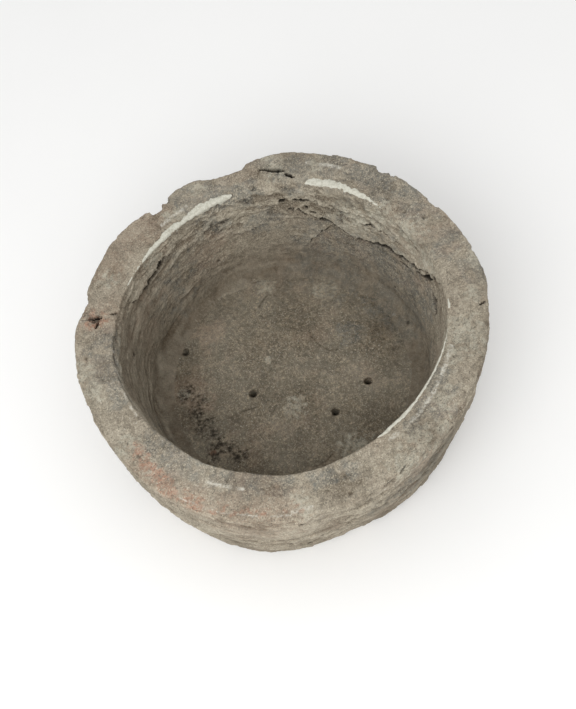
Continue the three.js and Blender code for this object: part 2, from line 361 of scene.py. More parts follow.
def fold(angle, z, points, run, width, depth, lap, seed):
    """(how far the wall is moved, how much shade is painted in its groove) for a fold along a run."""
    wander = 3.0 * ripple(points, 12.0, seed) + 1.6 * ripple(points, 4.2, seed + 1)
    away, above = run_distance(angle, z + wander, run, INNER_WALL_RADIUS)
    open_share = 0.65 + 1.5 * ripple(points, 17.0, seed + 2)
    local_width = width * np.clip(open_share, 0.28, 1.7)
    fade = end_fade(angle, run)
    groove = clamp(1.0 - (away / local_width) ** 2) * fade
    overlap = np.where(above > 0.0, np.exp(-away / 13.0), -0.45 * np.exp(-away / 12.0)) * fade
    shade = smooth(1.35, 0.55, away / local_width) * fade
    return lap * overlap - depth * groove, shade


def sink(cuts, points, seed, faintest=0.0, full=0.35, darkest=1.0):
    """(how far the face is moved, how much shade is painted in it) for ovals: (along, across, half length,
    half width, depth).
    """
    moved = np.zeros(points.shape[:-1])
    dark = np.zeros(points.shape[:-1])
    for k, (along, across, half_length, half_width, depth) in enumerate(cuts):
        away = np.hypot(along / half_length, across / half_width) + 0.35 * ripple(points, 3.2, seed + k)
        inside = clamp(1.0 - away ** 2)
        moved -= depth * np.sqrt(inside)
        dark = np.maximum(dark, darkest * smooth(faintest, full, inside))
    return moved, dark


def inner_cracks(angle, z, points):
    cuts = [(along_ring(angle, at, INNER_WALL_RADIUS), z - height, *size) for at, height, *size in WALL_PITS]
    moved, dark = sink(cuts, points, 171)
    for k, (run, width, depth, lap) in enumerate(FOLDS):
        shift, shade = fold(angle, z, points, run, width, depth, lap, 101 + 7 * k)
        moved += shift
        dark = np.maximum(dark, shade)
    return moved, dark


def rim_slits(angle, radius, points):
    cuts = []
    for at, at_radius, half_length, half_width, depth, turn in RIM_SLITS:
        x, y = along_ring(angle, at, at_radius), radius - at_radius
        c, s = math.cos(math.radians(turn)), math.sin(math.radians(turn))
        cuts.append((x * c + y * s, y * c - x * s, half_length, half_width, depth))
    return sink(cuts, points, 211)


def outer_slits(angle, z, points):
    bent = z + 4.0 * ripple(points, 17.0, 251)
    cuts = [(along_ring(angle, at, RIM_RADIUS), bent - height, *size) for at, height, *size in OUTER_SLITS]
    return sink(cuts, points, 261, 0.1, 0.7, 0.85)


# ---- relief of each kind of face
def clay_lumps(points):
    return 1.5 * fbm(points, 95.0, 2, 1) + 0.8 * fbm(points, 26.0, 3, 5)


def torn(angle, radius, z, along, across, seed):
    """Flat flakes with steep edges, as clay leaves where its layers tear: -0.5 to 0.5."""
    level_lines = drawn_out(angle, radius, z, along, across, seed)
    level_lines = level_lines + 0.35 * drawn_out(angle, radius, z, along * 0.3, across * 0.4, seed + 50)
    return smooth(-0.06, 0.12, level_lines) - 0.5


def outer_relief(angle, radius, z, points):
    leaned = z + 9.0 * ripple(points, 70.0, 17)
    coils = drawn_out(angle, radius, leaned, 160.0, 21.0, 11)
    layers = 1.5 * torn(angle, radius, leaned, 38.0, 10.0, 12)
    layers = layers + 0.9 * torn(angle, radius, leaned, 16.0, 5.0, 13)
    torn_share = 0.45 + 0.75 * smooth(-0.35, 0.35, ripple(points, 60.0, 18))
    rough = 0.7 * fbm(points, 11.0, 3, 14) + 0.3 * ripple(points, 2.6, 16)
    holes = pits(points, 17.0, 0.35, 2.6, 31) + pits(points @ TURNED, 9.0, 0.25, 1.2, 41)
    moved, dark = outer_slits(angle, z, points)
    return coils + layers * torn_share + rough - holes + moved, np.maximum(dark, smooth(0.5, 1.8, holes))


def top_relief(angle, radius, z, points):
    rough = 0.4 * fbm(points, 8.0, 3, 21) + 0.26 * ripple(points, 2.2, 24)
    holes = pits(points, 15.0, 0.14, 1.3, 51) + pits(points @ TURNED, 8.0, 0.2, 0.8, 61)
    flakes = 0.9 * torn(angle, radius, radius + 6.0 * ripple(points, 40.0, 19), 30.0, 13.0, 20)
    moved, dark = rim_slits(angle, radius, points)
    worn_share = smooth(-0.1, 0.5, ripple(points, 48.0, 22))
    return rough + flakes * worn_share - holes + moved, np.maximum(dark, 0.6 * smooth(0.5, 1.4, holes))


def wiping_lines(angle, z, points):
    """The heights bent so that level lines run as fingers wiped them."""
    return z + 7.0 * np.sin(np.radians(angle) * 2.0 + 0.8) + 5.0 * ripple(points, 38.0, 29)


def inner_relief(angle, radius, z, points):
    tilt = wiping_lines(angle, z, points)
    wiped = 0.9 * drawn_out(angle, radius, tilt, 44.0, 9.0, 24)
    wiped = wiped + 0.5 * drawn_out(angle, radius, tilt, 22.0, 3.6, 25)
    patchy = 0.5 + 0.8 * smooth(-0.4, 0.4, ripple(points, 33.0, 30))
    wiped = wiped * (0.5 + 0.9 * bell(angle, 160.0, 65.0)) * patchy
    slanted = z - 0.16 * wrap(angle - 60.0) + 8.0 * ripple(points, 30.0, 32)
    flaked = 3.0 * torn(angle, radius, slanted, 30.0, 9.0, 33)
    flaked = flaked + 1.8 * torn(angle, radius, slanted, 13.0, 4.5, 34)
    upper = smooth(112.0, 150.0, z) * (1.0 - 0.6 * smooth(172.0, 186.0, z))
    flaked = flaked * upper * (0.15 + 0.95 * bell(angle, 70.0, 50.0)) * patchy
    rough = 0.45 * fbm(points, 9.0, 3, 26) + 0.2 * ripple(points, 2.2, 28)
    holes = pits(points, 16.0, 0.22, 1.4, 71) + pits(points @ TURNED, 9.0, 0.2, 0.8, 81)
    moved, dark = inner_cracks(angle, z, points)
    return wiped + flaked + rough - holes + moved, np.maximum(dark, 0.8 * smooth(0.35, 1.3, holes))


TURNED = np.array(Matrix.Rotation(0.7, 3, Vector((0.4, 0.8, 0.45))))


def normals_of(points):
    along_rows = np.gradient(points, axis=0)
    along_columns = np.gradient(points, axis=1)
    normal = np.cross(along_columns, along_rows)
    return normal / np.maximum(np.linalg.norm(normal, axis=-1, keepdims=True), 1e-9)


def relief(angle, radius, z, weights):
    """Moves a strip of skin by its relief. weights are the shares of outer wall, rim top and inner wall."""
    outer, top, inner = weights
    points = cartesian(angle, radius, z)
    normal = normals_of(points)
    lumps = clay_lumps(points)
    moved = lumps * (1.0 - 0.55 * top)
    dark = np.zeros(angle.shape)
    for weight, kind in ((outer, outer_relief), (top, top_relief), (inner, inner_relief)):
        if weight.max() > 0.0:
            shift, shade = kind(angle, radius, z, points)
            moved = moved + weight * shift
            dark = np.maximum(dark, weight * shade)
    return points + normal * moved[..., None], dark, moved - lumps


# ---- meshes
def add_to_scene(name, data):
    thing = bpy.data.objects.new(name, data)
    bpy.context.scene.collection.objects.link(thing)
    return thing


def make_object(name, points, faces, masks):
    mesh = bpy.data.meshes.new(name)
    mesh.vertices.add(len(points))
    mesh.vertices.foreach_set("co", (points / 1000.0).astype(np.float32).ravel())
    sizes = np.array([len(face) for face in faces], dtype=np.int32)
    starts = np.concatenate([[0], np.cumsum(sizes)[:-1]]).astype(np.int32)
    mesh.loops.add(int(sizes.sum()))
    mesh.loops.foreach_set("vertex_index", np.concatenate(faces).astype(np.int32))
    mesh.polygons.add(len(faces))
    mesh.polygons.foreach_set("loop_start", starts)
    mesh.polygons.foreach_set("loop_total", sizes)
    mesh.update(calc_edges=True)
    mesh.validate()
    mesh.shade_smooth()
    mesh.set_sharp_from_angle(angle=math.radians(SHARP_ANGLE))
    for key, values in masks.items():
        mesh.attributes.new(key, "FLOAT", "POINT").data.foreach_set("value", values.astype(np.float32))
    return add_to_scene(name, mesh)


def grid_faces(rows, columns, close_rows, close_columns):
    row = np.arange(rows if close_rows else rows - 1)
    column = np.arange(columns if close_columns else columns - 1)
    j, i = np.meshgrid(row, column, indexing="ij")
    k, n = (j + 1) % rows, (i + 1) % columns
    quads = np.stack([j * columns + i, j * columns + n, k * columns + n, k * columns + i], axis=-1)
    return quads.reshape(-1, 4)


def span(start, end, step):
    return np.linspace(0.0, 1.0, max(2, int(round(abs(end - start) / step)) + 1))


def between(first, last, count):
    """Hidden rows from one edge to another, without the edges."""
    shares = np.linspace(0.0, 1.0, count + 2)[1:-1, None, None]
    return first[None] * (1.0 - shares) + last[None] * shares


def loop_of_strips(strips, hidden):
    """One closed loop of rows: skin strips joined by hidden rows. strips are (points, dark, relief)."""
    rows, dark, high = [], [], []
    for k, (points, shade, lift) in enumerate(strips):
        following = strips[(k + 1) % len(strips)][0]
        rows.append(points)
        dark.append(shade)
        high.append(lift)
        filler = between(points[-1], following[0], hidden[k])
        rows.append(filler)
        dark.append(np.zeros(filler.shape[:2]))
        high.append(np.zeros(filler.shape[:2]))
    return np.concatenate(rows), np.concatenate(dark), np.concatenate(high)


def ring_object(name, strips, hidden):
    points, dark, high = loop_of_strips(strips, hidden)
    faces = grid_faces(*points.shape[:2], True, True)
    flat = points.reshape(-1, 3)
    return make_object(name, flat, faces, stains(flat, dark.ravel(), high.ravel()))


def ring_angles():
    return np.arange(COLUMNS) * 360.0 / COLUMNS


def skin(angle, radius, z, weights):
    """Relief on a full ring, with columns repeated at its two ends so that they meet."""
    wide = [np.concatenate([a[:, -2:], a, a[:, :2]], axis=1) for a in (angle, radius, z)]
    shares = [np.full(wide[0].shape, w) for w in weights]
    points, dark, high = relief(wide[0], wide[1], wide[2], shares)
    return points[:, 2:-2], dark[:, 2:-2], high[:, 2:-2]


def outer_strip(low, high):
    angle, share = np.meshgrid(ring_angles(), span(low.mean(), high.mean(), OUTER_ROW_STEP))
    z = low + (high - low) * share
    return skin(angle, outer_radius(angle, z), z, (1.0, 0.0, 0.0))


def inner_strip(high, low):
    angle, share = np.meshgrid(ring_angles(), span(low.mean(), high.mean(), ROW_STEP))
    z = high + (low - high) * share
    return skin(angle, inner_radius(angle, z), z, (0.0, 0.0, 1.0))


def level(z):
    return np.full(COLUMNS, float(z))


def course(name, low, high):
    outer = outer_strip(low - SEAM_FALL + HALF_GAP, high - SEAM_FALL - HALF_GAP)
    inner = inner_strip(high - HALF_GAP, low + HALF_GAP)
    return ring_object(name, [outer, inner], [3, 3])


def lower_course():
    """The first course, with the seat for the slab as hidden rows at SLAB_FOOT_RADIUS and SLAB_TOP_RADIUS."""
    outer = outer_strip(level(0.0), level(LOWER_SEAM - SEAM_FALL - HALF_GAP))
    inner = inner_strip(level(LOWER_SEAM - HALF_GAP), level(FLOOR_TOP - TOE_SINK))
    outer[0][:, :, 2] = np.maximum(outer[0][:, :, 2], 0.0)
    angle = ring_angles()
    lobes = SLAB_LOBES * outer_lobes(angle)
    foot = cartesian(angle, SLAB_FOOT_RADIUS + 0.6 + lobes, level(0.0))
    ledge = cartesian(angle, SLAB_TOP_RADIUS + 2.0 + lobes, level(FLOOR_TOP - TOE_SINK))
    still = (np.zeros((1, COLUMNS)), np.zeros((1, COLUMNS)))
    strips = [outer, inner, (ledge[None], *still), (foot[None], *still)]
    return ring_object("lower_wall_course_look", strips, [3, 2, 4, 5])


def rim_length(name, start, end):
    """A length of the rim coil, from its lap with one neighbour to its lap with the next."""
    stop = end if end > start else end + 360.0
    columns = int(round((stop - start) / 360.0 * COLUMNS))
    step = (stop - start) / columns
    angle_line = start + 0.02 + (stop - start - 0.04) * np.arange(-2, columns + 3) / columns
    low_outer = upper_seam(angle_line) - SEAM_FALL + HALF_GAP
    low_inner = upper_seam(angle_line) + HALF_GAP
    outer_round = outer_edge_round(angle_line)
    inner_round = inner_edge_round(angle_line)
    bend = np.radians(np.linspace(0.0, 90.0, 15))[1:]
    rows = []
    for share in span(low_outer.mean(), HEIGHT, OUTER_ROW_STEP):
        z = low_outer + (HEIGHT - outer_round - low_outer) * share
        rows.append((outer_radius(angle_line, z), z, (1.0, 0.0, 0.0)))
    edge_out = outer_radius(angle_line, HEIGHT)
    for a in bend:
        z = HEIGHT - outer_round * (1.0 - math.sin(a))
        tilt = a / math.pi * 2.0
        radius = outer_radius(angle_line, z) - outer_round * (1.0 - math.cos(a))
        rows.append((radius, z, (1.0 - tilt, tilt, 0.0)))
    edge_in = inner_radius(angle_line, HEIGHT)
    for share in span(0.0, WALL - 8.0, ROW_STEP)[1:-1]:
        radius = (edge_out - outer_round) * (1.0 - share) + (edge_in + inner_round) * share
        rows.append((radius, np.full(angle_line.shape, HEIGHT), (0.0, 1.0, 0.0)))
    for a in bend[::-1]:
        z = HEIGHT - inner_round * (1.0 - math.sin(a))
        tilt = a / math.pi * 2.0
        radius = inner_radius(angle_line, z) + inner_round * (1.0 - math.cos(a))
        rows.append((radius, z, (0.0, tilt, 1.0 - tilt)))
    for share in span(low_inner.min(), HEIGHT, ROW_STEP):
        z = HEIGHT - inner_round + (low_inner - HEIGHT + inner_round) * share
        rows.append((inner_radius(angle_line, z), z, (0.0, 0.0, 1.0)))
    radius = np.stack([row[0] for row in rows])
    z = np.stack([row[1] for row in rows])
    weights = [np.array([row[2][k] for row in rows])[:, None] * np.ones_like(radius) for k in range(3)]
    rise = clamp((z - low_outer) / (HEIGHT - low_outer))
    angle = angle_line + lap_lean(angle_line, smooth(0.1, 1.0, rise))
    radius, z = knock_off_chips(angle, radius, z)
    strip = [a[:, 2:-2] for a in relief(angle, radius, sway(angle, z), weights)]
    return open_object(name, *loop_of_strips([strip], [5]))


def fan(middle, ring):
    return [np.array([middle, a, b]) for a, b in zip(ring, np.roll(ring, -1))]


def capped_object(name, rows, middles, faces, dark, high, floor=False):
    """Rows of points, then the two middles that the fans at its ends share."""
    points = np.concatenate([rows.reshape(-1, 3), middles])
    shade = np.concatenate([dark.ravel(), [0.0, 0.0]])
    lift = np.concatenate([high.ravel(), [0.0, 0.0]])
    return make_object(name, points, faces, stains(points, shade, lift, floor))


def open_object(name, loop, dark, high):
    """A length with both ends closed by a fan about the middle of its section."""
    rows, columns = loop.shape[:2]
    faces = list(grid_faces(rows, columns, True, False))
    starts = np.arange(rows) * columns
    faces += fan(rows * columns, starts) + fan(rows * columns + 1, starts[::-1] + columns - 1)
    return capped_object(name, loop, loop[:, [0, -1]].mean(axis=0), faces, dark, high)


# ---- the floor slab
DRAIN_HOLE_RADIUS = 4.75
DRAIN_HOLES = [(343, 101), (306.5, 77), (190, 54), (150.5, 151)]
SCRATCHES = [
    [(62, 82), (59, 75), (56, 68), (48, 63), (38.5, 61), (31, 62), (25, 65), (21, 73)],
    [(73, 160), (79, 161.5), (85, 160), (91, 162), (98, 159)], [(100, 120), (96, 128), (93, 133)],
    [(210, 60), (206, 70), (203, 82)], [(285, 120), (280, 126), (273, 130)],
]


def floor_relief(points):
    x, y = points[..., 0], points[..., 1]
    flat = np.stack([x, y, 0.0 * x], axis=-1)
    # the broad undulations worn into the floor's face: a height only, with no painted shade
    wear_and_shade = 1.1 * fbm(flat, 110.0, 2, 301) + 0.35 * fbm(flat, 26.0, 2, 303)
    chaff = 0.42 * fbm(flat, 6.5, 2, 305) + 0.25 * ripple(flat, 2.3, 307)
    holes = pits(flat, 13.0, 0.3, 1.2, 311) + pits(flat @ TURNED, 8.0, 0.25, 0.8, 321)
    moved = wear_and_shade + chaff - holes
    # dark is painted shade: in the pits, along the scratches and round the drain holes
    dark = 0.8 * smooth(0.3, 1.1, holes)
    for run in SCRATCHES:
        line = [cartesian(a, r, 0.0)[:2] for a, r in run]
        for (x0, y0), (x1, y1) in zip(line[:-1], line[1:]):
            dx, dy = x1 - x0, y1 - y0
            t = clamp(((x - x0) * dx + (y - y0) * dy) / (dx * dx + dy * dy))
            away = np.hypot(x - x0 - t * dx, y - y0 - t * dy) + 0.5 * ripple(flat, 4.0, 331)
            groove = clamp(1.0 - (away / 1.6) ** 2)
            moved = moved - 0.5 * groove
            dark = np.maximum(dark, 0.35 * groove)
    for at, radius in DRAIN_HOLES:
        hole_x, hole_y, _ = cartesian(at, radius, 0.0)
        away = np.hypot(x - hole_x, y - hole_y) + 0.7 * ripple(flat, 4.0, 341)
        moved = moved - 1.1 * clamp(1.0 - (away - DRAIN_HOLE_RADIUS) / 2.6) ** 2
        dark = np.maximum(dark, 0.75 * (1.0 - smooth(DRAIN_HOLE_RADIUS - 0.5, DRAIN_HOLE_RADIUS + 1.6, away)))
    return moved, dark


def floor_slab():
    angle = ring_angles()[::2]
    columns = len(angle)
    lobes = SLAB_LOBES * outer_lobes(angle)
    shares = np.linspace(0.0, 1.0, FLOOR_ROWS + 1)[1:] ** 0.75
    face = np.full(columns, FLOOR_TOP)
    foot = np.zeros(columns)
    top = np.stack([cartesian(angle, (SLAB_TOP_RADIUS + lobes) * share, face) for share in shares])
    moved, dark = floor_relief(top)
    calm = smooth(1.0, 0.965, shares)[:, None]
    top[..., 2] += moved * calm - FLOOR_SINK
    side = cartesian(angle, SLAB_FOOT_RADIUS + lobes, foot)
    inward = np.linspace(1, 0, UNDERSIDE_ROWS + 2)[1:-1]
    under = np.stack([cartesian(angle, (SLAB_FOOT_RADIUS + lobes) * share, foot) for share in inward])
    under[..., 2] += 0.5 + 0.45 * fbm(under, 9.0, 2, 361)
    rows = np.concatenate([top, between(top[-1], side, 6), side[None], under])
    hidden = np.zeros((len(rows) - len(top), columns))
    faces = list(grid_faces(len(rows), columns, False, True)[:, ::-1])
    first_row, total = np.arange(columns), len(rows) * columns
    faces += fan(total, first_row) + fan(total + 1, first_row[::-1] + total - columns)
    middles = np.array([[0.0, 0.0, float(top[0, :, 2].mean())], [0.0, 0.0, float(under[-1, :, 2].mean())]])
    dark = np.concatenate([dark, hidden])
    high = np.concatenate([moved * calm, hidden])
    slab = capped_object("floor_slab_look", rows, middles, faces, dark, high, floor=True)
    drill(slab)
    return slab


def drill(slab):
    for k, (at, radius) in enumerate(DRAIN_HOLES):
        bit = drill_bit(DRAIN_HOLE_RADIUS, FLOOR_TOP * 1.4, 371 + k)
        bit.location = cartesian(at, radius, FLOOR_TOP / 2.0) / 1000.0
        cut = slab.modifiers.new("drain hole", "BOOLEAN")
        cut.object = bit
        cut.solver = "EXACT"
        bpy.context.view_layer.update()
        with bpy.context.temp_override(object=slab, active_object=slab):
            bpy.ops.object.modifier_apply(modifier=cut.name)
        bpy.data.objects.remove(bit)


def drill_bit(radius, length, seed):
    """A rough round bar: its wandering radius leaves the torn wall of a hole drilled through coarse clay."""
    sides, rings = 40, 30
    angle, share = np.meshgrid(np.arange(sides) * 360.0 / sides, np.linspace(-0.5, 0.5, rings))
    z = share * length
    points = cartesian(angle, np.full(angle.shape, radius), z)
    wander = radius + 0.45 * gradient_noise(points / 3.0 + 9.3, seed)
    flat = cartesian(angle, wander, z).reshape(-1, 3)
    faces = list(grid_faces(rings, sides, False, True))
    faces.append(np.arange(sides)[::-1])
    faces.append(np.arange(sides) + (rings - 1) * sides)
    return make_object("drill_bit", flat, faces, {})


# ---- the lime fills
# (first angle, last angle, reach over the rim's top, reach down the wall, seed)
LIME_FILLS = {
    "lime_fill_left": (96, 153, 8, 6, 401),
    "lime_fill_back": (38.5, 69, 12, 2.5, 411),
    "lime_fill_right_upper": (349.5, 354.5, 2.6, 2, 421),
    "lime_fill_right": (294, 343, 3, 1.8, 431),
}
LIME_ROWS = 17


def lime_fill(node):
    """A ragged smear over the rim's inner edge, a little proud of the clay, its borders sunk into it."""
    start, end, across, down, seed = LIME_FILLS[node]
    columns = int((end - start) / 360.0 * COLUMNS * (1.4))
    angle_line = np.linspace(start, end, columns)
    along = np.linspace(0.0, 1.0, columns)
    ends = clamp(along / 0.07) ** 0.5 * clamp((1.0 - along) / 0.75) ** 0.6
    if node == "lime_fill_back":
        ends = ends[::-1]
    line_points = cartesian(angle_line, np.full(columns, RIM_INNER_RADIUS), np.full(columns, HEIGHT))
    border = 1.0 + 0.45 * fbm(line_points, 26.0, 3, seed) + 0.3 * ripple(line_points, 4.5, seed + 5)
    lower_border = 1.0 + 0.6 * fbm(line_points, 19.0, 3, seed + 7) + 0.3 * ripple(line_points, 4.5, seed + 9)
    if node == "lime_fill_left":
        border = border * (0.5 + 0.6 * bell(angle_line, 115.0, 19.0))
    if node == "lime_fill_back":
        border = border * (0.6 + 0.5 * bell(angle_line, 58.0, 12.0))
    reach_out = across * np.clip(border, 0.2, 1.6) * ends
    reach_down = down * np.clip(lower_border, 0.15, 1.7) * ends
    inner_round = inner_edge_round(angle_line)
    over, under = [], []
    for share in np.linspace(0.0, 1.0, LIME_ROWS):
        travel = reach_out * (1.0 - share) - reach_down * share
        radius, z, lean = edge_path(angle_line, travel, inner_round)
        p = cartesian(angle_line, radius, sway(angle_line, z))
        normal = cartesian(angle_line, -np.sin(lean), np.cos(lean))
        rim_lift = clay_lumps(p) * 0.6
        proud = (1.3 * (1.0 - (2.0 * share - 1.0) ** 4) - 0.6) * (0.35 + 0.65 * ends)
        crumbs = 0.3 * fbm(p, 7.0, 2, seed + 11) + 0.12 * ripple(p, 1.7, seed + 13)
        over.append(p + normal * (rim_lift + proud + crumbs)[:, None])
        under.append(p + normal * (rim_lift - 1.8)[:, None])
    loop = np.stack(over + under[::-1])
    zeros = np.zeros(loop.shape[:2])
    return open_object(node + "_look", loop, zeros, zeros)


def edge_path(angle, travel, inner_round):
    """(radius, height, lean) at a distance over the rim's inner edge: + on top, - down the wall."""
    arc = inner_round * math.pi / 2.0
    corner_out = inner_radius(angle, HEIGHT) + inner_round
    turn = clamp((arc / 2.0 - travel) / arc) * math.pi / 2.0
    on_top = np.maximum(travel - arc / 2.0, 0.0)
    on_wall = np.maximum(-travel - arc / 2.0, 0.0)
    z = HEIGHT - inner_round * (1.0 - np.cos(turn)) - on_wall
    radius = corner_out - inner_round * np.sin(turn) + on_top - on_wall * 0.14
    return radius, z, turn


# ---- stains, painted shade and painted light, as masks on the vertices
# Blots are (angle, radius, height, size), in millimetres; noise makes their edges ragged.
def on_top(*blots):
    return [(at, radius, HEIGHT, size) for at, radius, size in blots]


def on_floor(*blots):
    return [(at, radius, FLOOR_TOP, size) for at, radius, size in blots]


SLATE_BLOTS = on_top(
    (173, 210, 17), (185, 215, 17), (182, 203, 12), (225, 213, 19), (191, 209, 13), (179, 222, 12),
    (217, 209, 14), (231, 214, 16), (323, 208, 13), (313, 207, 10), (314, 231, 9), (305, 211, 7),
    (1, 247, 13), (14, 226, 20), (34, 243, 16), (45, 236, 24), (54, 232, 22), (61, 239, 20), (92, 206, 17),
    (99, 205, 20), (105, 211, 20), (112, 220, 16), (260, 206, 15), (242, 208, 16), (165, 241, 8),
    (72, 228, 22), (28, 228, 20), (82, 240, 14), (272, 210, 11), (250, 206, 12), (281, 212, 8),
    (197, 208, 10),
) + on_floor(
    (27, 102, 15),
) + [
    (52, 183, 90, 34), (36, 184, 100, 34), (20, 182, 88, 30), (8, 183, 115, 22), (64, 181, 76, 26),
    (107, 190, 150, 15), (86, 190, 128, 16), (50, 170, FLOOR_TOP + 8, 24), (30, 171, FLOOR_TOP + 8, 24),
    (12, 173, FLOOR_TOP + 8, 20), (70, 168, FLOOR_TOP + 8, 20), (60, 176, 44, 13), (12, 178, 60, 20),
    (300, 240, 110, 40), (130, 238, 90, 46), (45, 240, 120, 44), (200, 236, 60, 40), (350, 240, 70, 36),
]
WARM_BLOTS = on_top(
    (129, 237, 22), (138, 234, 20), (146, 236, 18), (121, 228, 13), (229, 241, 13), (236, 243, 15),
    (246, 240, 17), (256, 239, 18), (262, 240, 15), (217, 244, 11), (164, 224, 17), (164, 240, 10),
) + on_floor(
    (175, 128, 20), (136, 132, 16),
) + [
    (14, 184, 120, 9), (115, 188, 112, 17), (108, 184, 122, 13), (300, 246, 160, 18), (250, 246, 150, 30),
    (60, 238, 60, 30), (150, 240, 120, 36), (20, 242, 150, 30),
]
PALE_BLOTS = on_top(
    (5, 248, 9), (318, 216, 13), (66, 234, 9), (116, 210, 10), (120, 215, 8), (150, 224, 11), (182, 238, 11),
    (265, 228, 9), (190, 233, 10), (82, 247, 8), (333, 211, 12), (295, 242, 17), (311, 243, 12),
    (354, 233, 9), (106, 230, 9), (211, 248, 9), (340, 222, 22), (303, 228, 16), (266, 244, 9),
    (210, 226, 10), (222, 232, 8), (80, 226, 13),
) + on_floor(
    (126, 42, 4.5), (175, 144, 6), (298, 133, 18), (265, 42, 12), (92, 150, 12), (60, 142, 14),
) + [
    (24, 200, 180, 18), (38, 200, 172, 17), (12, 196, 176, 14), (50, 196, 150, 20), (135, 190, 176, 12),
]
SOOT_AND_PIT_SHADE_BLOTS = on_top(
    (215.5, 231, 5.5), (165, 226, 6),
) + on_floor(
    (177, 145, 8), (174, 137, 8), (182, 124, 9), (188, 131, 9), (198, 132, 11), (205, 128, 9),
    (213, 131, 12), (219, 124, 8), (215, 146, 9), (226, 129, 9), (230, 122, 6), (196, 118, 5),
) + [
    # painted shade: these two dark blots sit in the deep pit high on the right of the inner wall
    (1, 194, 138, 6), (359.5, 192, 132, 4),
]
# Streaks of fine white lime along the rim: (first angle, last angle, radius at each, half width).
LIME_STREAKS = [
    (228, 262, 246, 245, 1), (237, 249, 217, 215, 2.4), (190, 205, 202, 201, 2.2), (262, 268, 242, 238, 3.4),
    (176, 190, 201, 200, 1), (296, 336, 204, 207, 3.4), (58, 70, 234, 236, 3.8), (112, 124, 213, 211, 3.6),
]
# The rust line over the front left of the rim: (angle, radius).
RUST_STREAK = [(213, 226), (217, 230), (224, 236), (230, 242), (238, 244), (246, 242), (254, 241), (265, 238)]
RUST_RADIUS = 238.0
CORNER_RADIUS = 170.0  # of the ring of painted shade where the floor meets the wall


def blot(points, blots, spread=1.0):
    total = np.zeros(len(points))
    for at, radius, height, size in blots:
        away = np.linalg.norm(points - cartesian(at, radius, height), axis=-1)
        total = np.maximum(total, np.exp(-((away / (size * spread)) ** 2)))
    return total


def ragged(points, mask, wavelength, seed, amount):
    noise = fbm(points, wavelength, 4, seed)
    return smooth(0.1, 0.8, mask + amount * 0.55 * noise * smooth(0.0, 0.3, mask))


def streaks(points, angle, radius):
    total = np.zeros(len(points))
    wander = 1.6 * ripple(points, 13.0, 521) + 0.8 * ripple(points, 4.0, 522)
    for first, last, r0, r1, half in LIME_STREAKS:
        share = clamp(((angle - first) % 360.0) / (last - first))
        inside = ((angle - first) % 360.0) <= (last - first)
        away = np.abs(radius - (r0 + (r1 - r0) * share) + wander)
        total = np.maximum(total, np.where(inside, clamp(1.0 - (away / half) ** 2), 0.0))
    broken = smooth(-0.5, 0.3, ripple(points, 17.0, 523) + 0.3 * ripple(points, 4.0, 524))
    return total * broken * (points[:, 2] > HEIGHT - 12.0)


def wiped_streaks(points, angle, radius):
    tilt = wiping_lines(angle, points[:, 2], points)
    lines = drawn_out(angle, radius, tilt, 30.0, 5.5, 531)
    lines = lines + 0.8 * drawn_out(angle, radius, tilt, 13.0, 2.2, 532)
    return clamp(0.5 + 0.8 * lines * smooth(-0.5, 0.4, ripple(points, 27.0, 533)))


